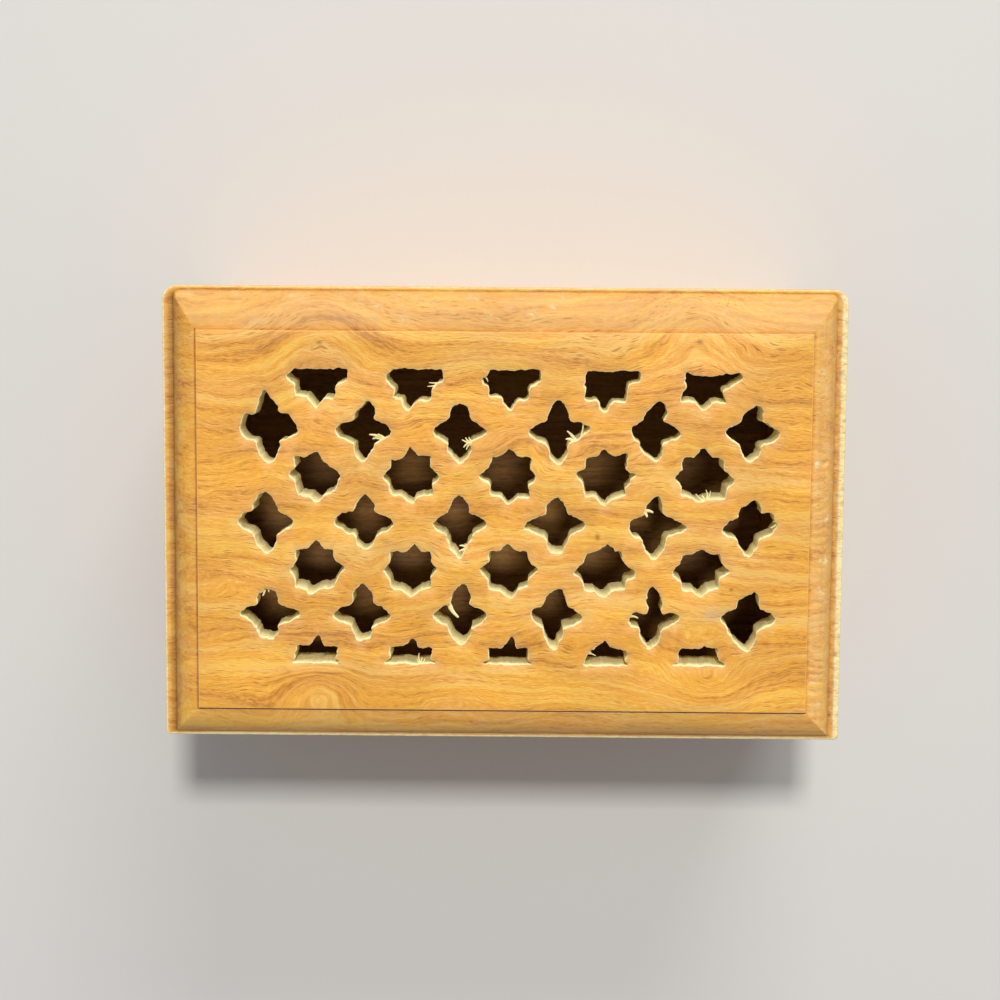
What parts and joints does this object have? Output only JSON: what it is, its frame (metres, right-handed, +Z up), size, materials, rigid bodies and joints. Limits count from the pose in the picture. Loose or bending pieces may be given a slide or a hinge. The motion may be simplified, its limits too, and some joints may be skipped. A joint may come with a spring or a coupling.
{
  "type": "trinket box",
  "caption": "Rectangular wooden trinket box with a hinged overhanging lid, its raised panel pierced by a hand-cut lattice of flowers and stars inside a moulded edge.",
  "frame": {"origin": "middle of the box's underside, on the surface that it stands on", "axes": "+X along the box to the right, +Y from the front to the hinged back, +Z up through the lid"},
  "size_m": [0.1524, 0.1016, 0.0635],
  "materials": {
    "lid_wood": "satin",
    "wall_wood": "satin",
    "base_wood": "matte",
    "hinge_brass": "dull",
    "screw_brass": "dull",
    "brad_steel": "dull"
  },
  "bodies": {
    "box": {"front_wall": "wall_wood", "back_wall": "wall_wood", "left_wall": "wall_wood", "right_wall": "wall_wood", "base_board": "base_wood", "left_hinge_wall_leaf": "hinge_brass", "right_hinge_wall_leaf": "hinge_brass", "left_hinge_pin": "hinge_brass", "right_hinge_pin": "hinge_brass", "wall_hinge_screws": "screw_brass", "corner_brads": "brad_steel", "base_brads": "brad_steel"},
    "lid": {"lid_board": "lid_wood", "left_hinge_lid_leaf": "hinge_brass", "right_hinge_lid_leaf": "hinge_brass", "lid_hinge_screws": "screw_brass"}
  },
  "joints": [
    {"name": "lid_hinge", "type": "hinge", "parent": "box", "child": "lid", "pos_m": [0, 0.0472, 0.0534], "axis": [-1, 0, 0], "range_deg": [0, 118]}
  ]
}
